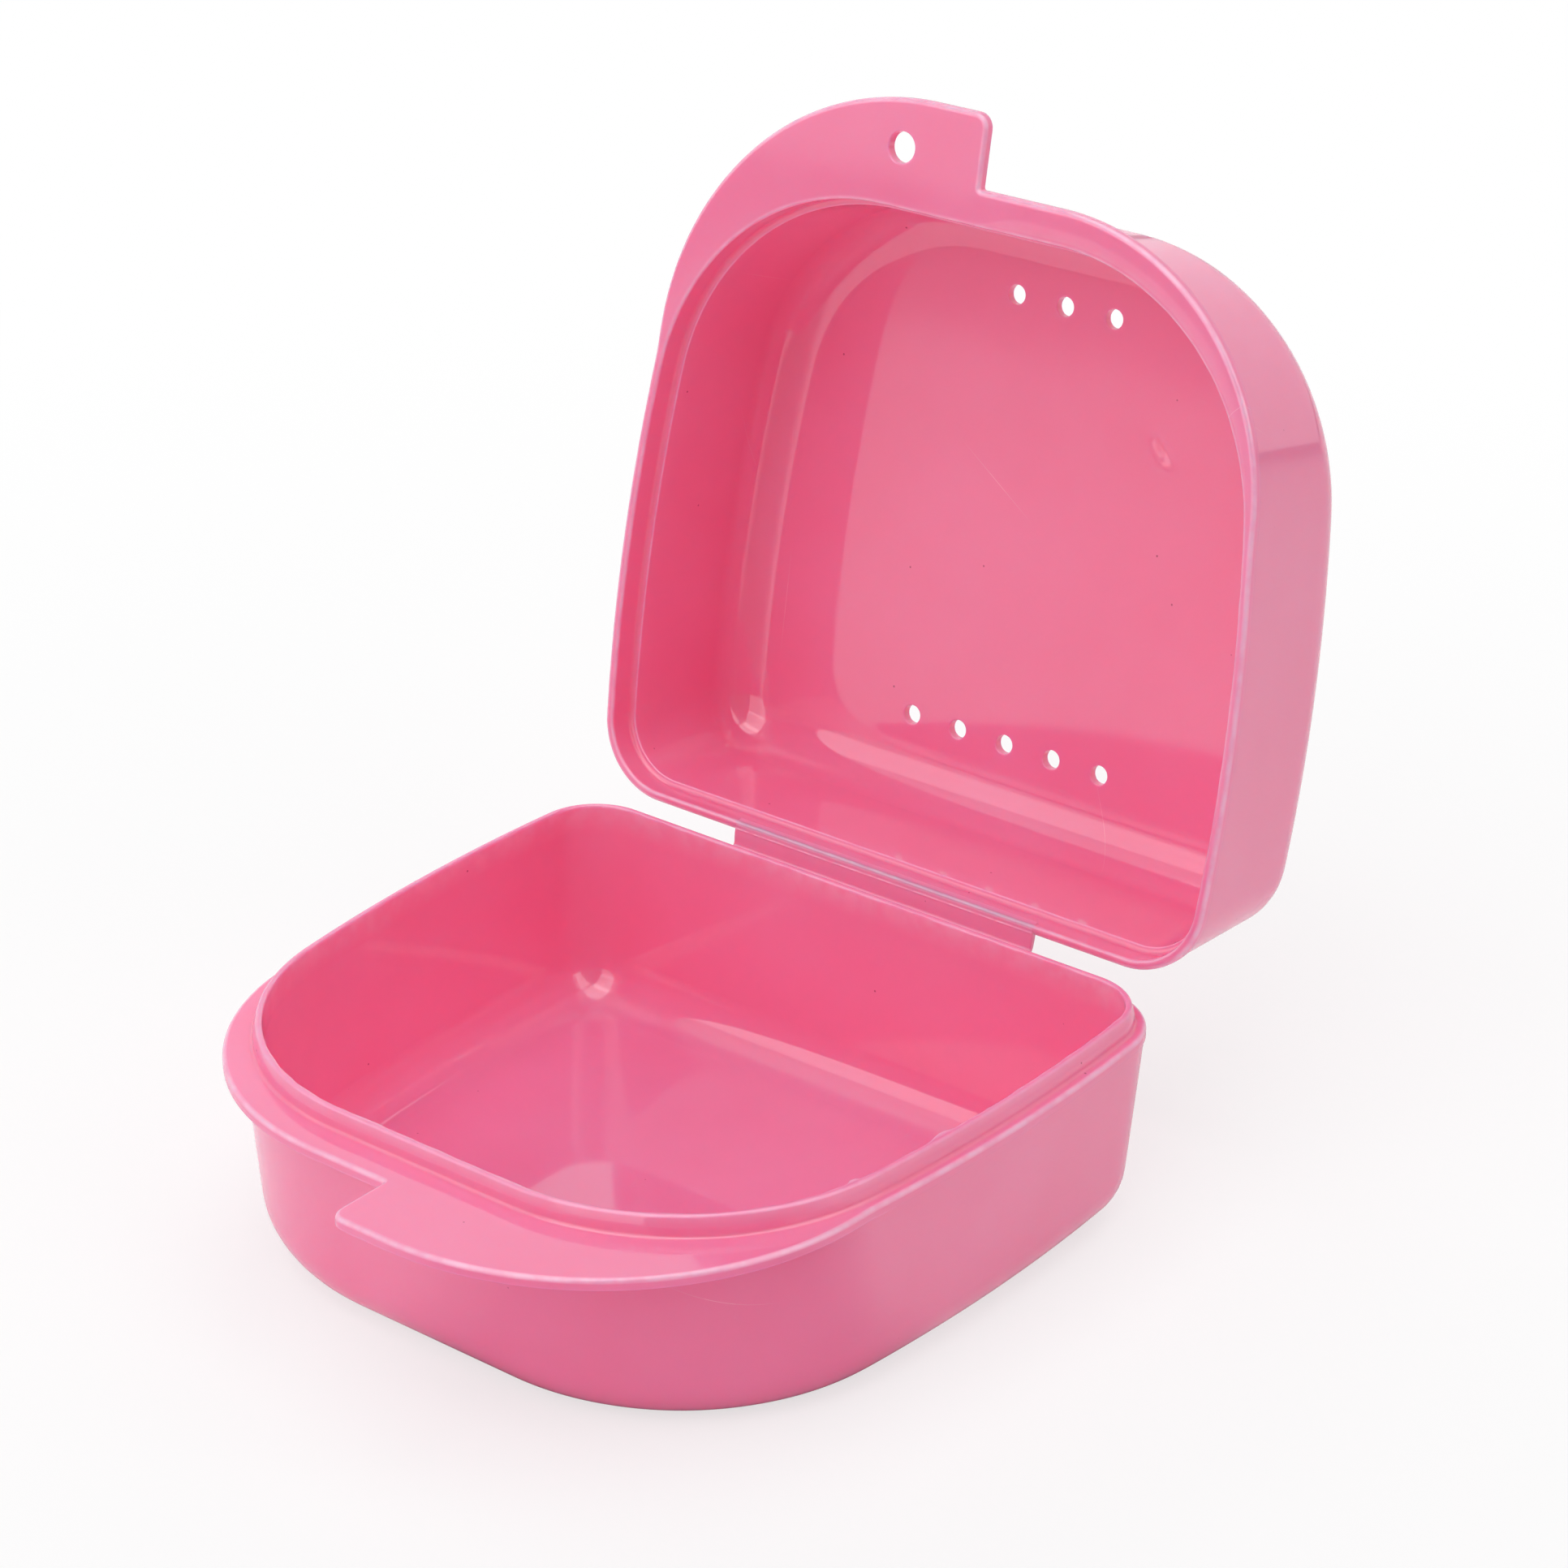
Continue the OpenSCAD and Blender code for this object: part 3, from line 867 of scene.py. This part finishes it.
def strapPath():
    # Middle line of the web, seen from the side: along the base's rear, over the fold and up the lid's rim,
    # with both ends diving into the halves; also gives the edge of the lid's rim
    middle = seamZ + strap["proud"] - strap["thickness"] / 2
    rear = seam["halfDepth"]
    level = [
        (rear - strap["sunk"], middle - strap["dip"]),
        (rear - strap["cover"], middle),
        (hingeY, middle),
    ]
    rise = swingOpen(np.array([(0.0, *p) for p in level]))[:, 1:]
    up = (rise[1] - rise[2]) / np.linalg.norm(rise[1] - rise[2])
    bend = rise[2] + up * (middle - rise[2][1]) / up[1]
    path = roundedPath([
        (*level[0], 0),
        (*level[1], strap["dipRound"]),
        (*bend, strap["foldRadius"]),
        (*rise[1], strap["dipRound"]),
        (*rise[0], 0),
    ], **strap["rows"])
    return path, swingOpen(np.array([[0.0, rear, middle]]))[0, 1:]


def strapColumns():
    # Places across the web, and how much thinner it is there, which rounds both of its sides
    turn = np.linspace(0, math.pi / 2, strap["endPoints"])
    x = strap["halfWidth"] - strap["endRound"] * (1 - np.sin(turn))
    trim = strap["endRound"] * (1 - np.cos(turn))
    inner = np.linspace(-x[0], x[0], strap["columns"] + 2)[1:-1]
    x = np.concatenate([-x[::-1], inner, x])
    return x, np.concatenate([trim[::-1], np.zeros(len(inner)), trim])[:, None]


def strapFlash(x, fromRim):
    # Height of the line of flash: a level plus sines across the web, times a bell curve of the distance to
    # the rim
    uneven = 0.55 + 0.3 * np.sin(2.1 * x) * np.sin(0.83 * x + 1) + 0.25 * np.sin(5.3 * x + 2)
    bell = np.exp(-(fromRim / strap["flashWidth"]) ** 2)
    return strap["flash"] * np.clip(uneven, 0, 1)[:, None] * bell[None]


def makeStrap():
    # Hinge web: a band carried along its middle line, thinner at the fold as a bell curve of the distance,
    # with a thin, uneven line of flash along the lid's rim
    path, rimEdge = strapPath()
    x, trim = strapColumns()
    half = strap["thickness"] / 2
    ahead = np.gradient(path, axis=0)
    ahead /= np.linalg.norm(ahead, axis=1)[:, None]
    across = np.stack([-ahead[:, 1], ahead[:, 0]], 1)
    fromFold = np.linalg.norm(path - np.array([hingeY, hingeZ]), axis=1)
    thinner = np.exp(-(fromFold / strap["foldReach"]) ** 2)
    thick = half + (strap["foldThickness"] / 2 - half) * thinner
    flash = strapFlash(x, np.linalg.norm(path - rimEdge, axis=1))
    upper = path[None] + across[None] * (thick[None] - trim + flash * (trim == 0))[..., None]
    lower = path[None] - across[None] * (thick[None] - trim)[..., None]
    section = np.concatenate([upper, lower[:, ::-1]], 1)
    rows = np.concatenate([np.broadcast_to(x[:, None, None], (*section.shape[:2], 1)), section], 2)
    shape = newShape()
    band = addSkin(shape, rows)
    count = len(path)
    for end in (band[0], band[-1]):
        near, far = end[:count], end[count:][::-1]
        shape["quads"].append(np.stack([near[:-1], near[1:], far[1:], far[:-1]], 1))
    piece = makePiece("hingeStrap", shape, thinBacklitPink)
    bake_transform(piece)
    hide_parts("base_hinge_leaf", "hinge_film", "lid_hinge_leaf")


makeBase()
makeLid()
makeStrap()

camera = {  # in metres
    "place": (0.23097, -0.27868, 0.22141),
    "look": (-0.5561, 0.7069, -0.4371),
    "up": (-0.2759, 0.3391, 0.8994),
    "lens": 95.9,
    "sensor": 36,
    "shift": (0.0230, 0.0170),
    "nearest": 0.01,
}


def makeCamera():
    # Camera at its place, turned so that its axes are right, up and back
    data = bpy.data.cameras.new("viewCamera")
    data.lens = camera["lens"]
    data.sensor_width = camera["sensor"]
    data.shift_x, data.shift_y = camera["shift"]
    data.clip_start = camera["nearest"]
    view = bpy.data.objects.new("viewCamera", data)
    back = -Vector(camera["look"]).normalized()
    right = Vector(camera["up"]).cross(back).normalized()
    turned = Matrix((right, back.cross(right), back)).transposed().to_4x4()
    view.matrix_world = Matrix.Translation(camera["place"]) @ turned
    bpy.context.scene.collection.objects.link(view)
    bpy.context.scene.camera = view


makeCamera()

studio = {  # in metres
    "worldLight": 0.09,
    "seenWhite": 1.0,  # white of the surroundings, where they are seen or mirrored
    "darkSide": (0.62, -0.77, 0.15),  # where the room is dimmer, for what mirrors it
    "darkEdge": (0.55, 0.85),  # cosines to that side between which it dims
    "darkLevel": 0.3,
    "floorRadius": 6.0,
    "floorCorners": 64,
    "floorColour": (0.95, 0.95, 0.95),
    "floorRoughness": 0.9,
    "floorShine": 0.1,  # specular level
    "floorGlow": (0.68, 1.0),  # share of its white that shadows don't darken, near the case and far off
    "floorReach": (0.05, 0.3),
    "floorGloss": 0.3,  # how much of that glow the plastic mirrors
    "aim": (0, 0.01, 0.04),  # what the softboxes face
    "mirrored": 5,  # how many of them show in the gloss; the rest only shine through from behind
    "softboxes": (  # place, size and power
        ((0.0, 0.0, 1.3), 1.3, 7.5),
        ((0.05, -0.8, 1.05), 1.0, 4.2),
        ((0.1, -1.3, 0.4), 1.0, 3.0),
        ((1.0, 0.22, 0.82), 1.0, 3.7),
        ((-0.9, -0.9, 0.6), 1.0, 2.9),
        ((-0.4, 1.2, 0.6), 1.0, 5.0),
        ((-1.25, 0.35, 0.45), 1.0, 5.0),
    ),
}


def raysThatSeeWhite(tree, glossShare):
    # 1 for camera and transmission rays, and a share for glossy rays
    rays = tree.nodes.new("ShaderNodeLightPath")
    total = mathStep(tree, "MULTIPLY", rays.outputs["Is Glossy Ray"], glossShare)
    for name in ("Is Camera Ray", "Is Transmission Ray"):
        total = mathStep(tree, "MAXIMUM", total, rays.outputs[name])
    return total


def dimForGloss(tree, direction):
    # The surroundings' white, dimmer towards one side of the room for glossy rays only
    darkSide = tuple(Vector(studio["darkSide"]).normalized())
    toDark = vectorStep(tree, "DOT_PRODUCT", vectorStep(tree, "NORMALIZE", direction), darkSide)
    dim = ranged(tree, toDark, *studio["darkEdge"], studio["seenWhite"], studio["darkLevel"], "SMOOTHSTEP")
    glossy = tree.nodes.new("ShaderNodeLightPath").outputs["Is Glossy Ray"]
    return ranged(tree, glossy, 0, 1, studio["seenWhite"], dim)


def makeWorld():
    # White surroundings: a low even light, and full white where they are seen or mirrored
    world = bpy.data.worlds.new("studioWorld")
    bpy.context.scene.world = world
    world.use_nodes = True
    tree = world.node_tree
    background = tree.nodes["Background"]
    background.inputs["Color"].default_value = (1, 1, 1, 1)
    direction = tree.nodes.new("ShaderNodeTexCoord").outputs["Generated"]
    seen = raysThatSeeWhite(tree, 1.0)
    level = ranged(tree, seen, 0, 1, studio["worldLight"], dimForGloss(tree, direction))
    feed(tree, background.inputs["Strength"], level)


def makeSoftboxes():
    # Square area lights that face the case
    for number, (place, size, power) in enumerate(studio["softboxes"]):
        light = bpy.data.lights.new(f"softbox{number}", "AREA")
        light.shape = "SQUARE"
        light.size = size
        light.energy = power
        holder = bpy.data.objects.new(f"softbox{number}", light)
        toCase = Vector(studio["aim"]) - Vector(place)
        turned = toCase.to_track_quat("-Z", "Y").to_matrix().to_4x4()
        holder.matrix_world = Matrix.Translation(place) @ turned
        holder.visible_glossy = number < studio["mirrored"]
        bpy.context.scene.collection.objects.link(holder)


def mixedShaders(tree, share, first, second):
    # One shader over another by a share from another node
    mix = tree.nodes.new("ShaderNodeMixShader")
    for socket, value in zip(mix.inputs, (share, first, second)):
        feed(tree, socket, value)
    return mix.outputs["Shader"]


def plainGlow(tree, strength):
    # White light of one strength
    glow = tree.nodes.new("ShaderNodeEmission")
    glow.inputs["Strength"].default_value = strength
    return glow.outputs["Emission"]


def paleFloor():
    # A matt pale floor that glows white where it is seen, less so near the case, so that its shadow shows;
    # it is dimmer for glossy rays on the dark side
    material = bpy.data.materials.new("paleFloor")
    material.use_nodes = True
    tree = material.node_tree
    shader = tree.nodes["Principled BSDF"]
    shader.inputs["Base Color"].default_value = (*studio["floorColour"], 1)
    shader.inputs["Roughness"].default_value = studio["floorRoughness"]
    shader.inputs["Specular IOR Level"].default_value = studio["floorShine"]
    place = tree.nodes.new("ShaderNodeTexCoord").outputs["Object"]
    away = vectorStep(tree, "LENGTH", place)
    whiter = ranged(tree, away, *studio["floorReach"], *studio["floorGlow"], "SMOOTHSTEP")
    share = mathStep(tree, "MULTIPLY", raysThatSeeWhite(tree, studio["floorGloss"]), whiter)
    white = mixedShaders(tree, share, shader.outputs["BSDF"], plainGlow(tree, studio["seenWhite"]))
    seen = mixedShaders(tree, dimForGloss(tree, place), plainGlow(tree, 0), white)
    feed(tree, tree.nodes["Material Output"].inputs["Surface"], seen)
    return material


def makeFloor():
    # One wide round face under the case
    count = studio["floorCorners"]
    ring, _ = arcStations((0, 0), studio["floorRadius"], 0, 2 * math.pi, count)
    mesh = bpy.data.meshes.new("floor")
    mesh.from_pydata(np.column_stack([ring, np.zeros(count)]), [], [list(range(count))])
    mesh.materials.append(paleFloor())
    floor = bpy.data.objects.new("floor", mesh)
    bpy.context.scene.collection.objects.link(floor)


bpy.context.scene.view_settings.view_transform = "Standard"
makeWorld()
makeSoftboxes()
makeFloor()
print("studio and camera set")
